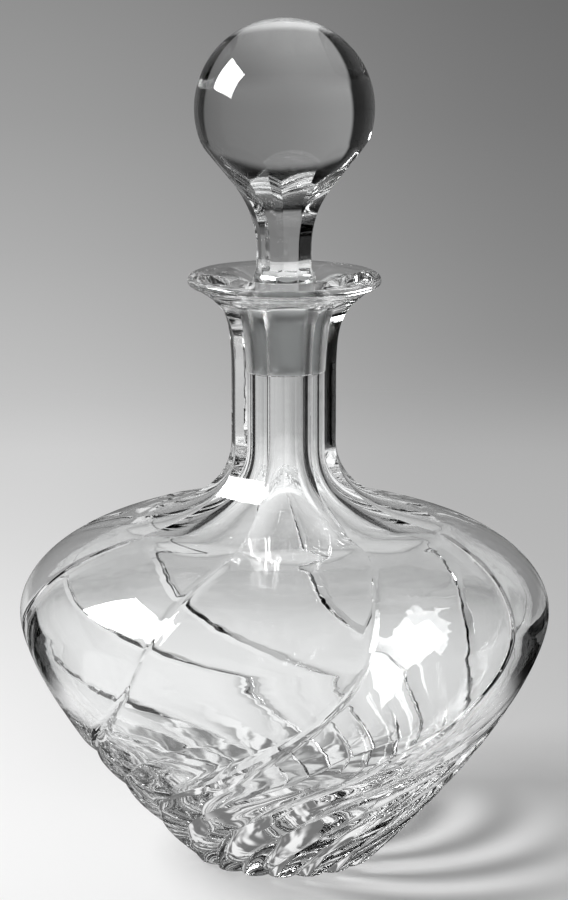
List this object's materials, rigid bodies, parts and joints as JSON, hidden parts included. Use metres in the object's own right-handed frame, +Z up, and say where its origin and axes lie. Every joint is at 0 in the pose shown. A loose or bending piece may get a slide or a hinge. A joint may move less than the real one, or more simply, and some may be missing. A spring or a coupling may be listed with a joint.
{
  "type": "brandy decanter",
  "caption": "Stout glass spirit decanter with a wide swirl-cut body tapering to a small foot, a fluted neck with a flared lip, and a lift-out ball stopper.",
  "frame": {"origin": "centre of the flat polished foot, on the surface that the decanter stands on", "axes": "+Z up along the axis of the vessel, neck and stopper; -Y is the side that faces the camera in the picture, +X is to its right"},
  "size_m": [0.1698, 0.1698, 0.2716],
  "materials": {
    "vessel_glass": "polished clear lead glass, deep cuts in the lower body, seat in the neck ground to take the plug",
    "stopper_glass": "polished clear lead glass, plug ground to its seat"
  },
  "bodies": {
    "vessel": {"vessel": "vessel_glass"},
    "stopper": {"stopper": "stopper_glass"}
  },
  "joints": [
    {"name": "stopper_lift", "type": "slide", "parent": "vessel", "child": "stopper", "axis": [0, 0, 1], "range_m": [0, 0.06]}
  ]
}
